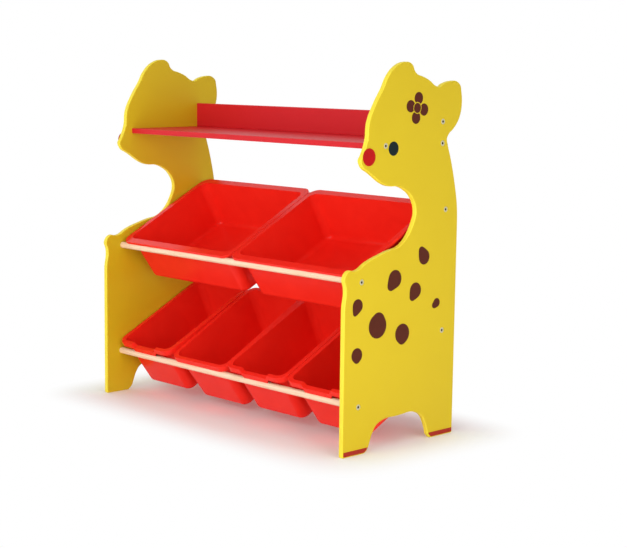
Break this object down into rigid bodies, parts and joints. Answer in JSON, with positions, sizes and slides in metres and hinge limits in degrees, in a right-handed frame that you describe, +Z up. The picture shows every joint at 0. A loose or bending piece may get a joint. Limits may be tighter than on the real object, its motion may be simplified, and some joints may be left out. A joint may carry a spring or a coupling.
{
  "type": "toy organizer rack",
  "caption": "Child's toy organizer: two yellow giraffe side panels, a red shelf with a back rail, beech dowels and leaning red plastic bins that lift off.",
  "frame": {"origin": "middle of the rack's footprint, on the floor", "axes": "+Z up, -Y to the front where the bins' mouths lean, +X across to the right panel"},
  "size_m": [0.8256, 0.346, 0.7999],
  "materials": {
    "yellow_board": "satin lacquered fibreboard",
    "red_board": "satin lacquered fibreboard",
    "beech": "satin varnish",
    "red_plastic": "semi-gloss",
    "zinc_steel": "zinc plated",
    "red_print": "satin ink",
    "black_print": "satin ink",
    "brown_print": "satin ink"
  },
  "bodies": {
    "rack": {"left_side_panel": "yellow_board", "right_side_panel": "yellow_board", "top_shelf": "red_board", "shelf_back_rail": "red_board", "upper_front_dowel": "beech", "upper_back_dowel": "beech", "lower_front_dowel": "beech", "lower_back_dowel": "beech", "dowel_screws_left": "zinc_steel", "shelf_screws_left": "zinc_steel", "left_nose": "red_print", "left_eye": "black_print", "left_flower_centre": "brown_print", "left_flower_petals": "brown_print", "left_spots": "brown_print", "left_hooves": "red_print", "dowel_screws_right": "zinc_steel", "shelf_screws_right": "zinc_steel", "right_nose": "red_print", "right_eye": "black_print", "right_flower_centre": "brown_print", "right_flower_petals": "brown_print", "right_spots": "brown_print", "right_hooves": "red_print"},
    "large_bin_left": {"large_bin_left": "red_plastic"},
    "large_bin_right": {"large_bin_right": "red_plastic"},
    "small_bin_1": {"small_bin_1": "red_plastic"},
    "small_bin_2": {"small_bin_2": "red_plastic"},
    "small_bin_3": {"small_bin_3": "red_plastic"},
    "small_bin_4": {"small_bin_4": "red_plastic"}
  },
  "joints": [
    {"name": "large_bin_left_lift", "type": "slide", "parent": "rack", "child": "large_bin_left", "axis": [0, -0.4695, 0.8829], "range_m": [0, 0.12]},
    {"name": "large_bin_right_lift", "type": "slide", "parent": "rack", "child": "large_bin_right", "axis": [0, -0.4695, 0.8829], "range_m": [0, 0.12]},
    {"name": "small_bin_1_lift", "type": "slide", "parent": "rack", "child": "small_bin_1", "axis": [0, -0.4617, 0.887], "range_m": [0, 0.085]},
    {"name": "small_bin_2_lift", "type": "slide", "parent": "rack", "child": "small_bin_2", "axis": [0, -0.4617, 0.887], "range_m": [0, 0.085]},
    {"name": "small_bin_3_lift", "type": "slide", "parent": "rack", "child": "small_bin_3", "axis": [0, -0.4617, 0.887], "range_m": [0, 0.085]},
    {"name": "small_bin_4_lift", "type": "slide", "parent": "rack", "child": "small_bin_4", "axis": [0, -0.4617, 0.887], "range_m": [0, 0.085]}
  ]
}
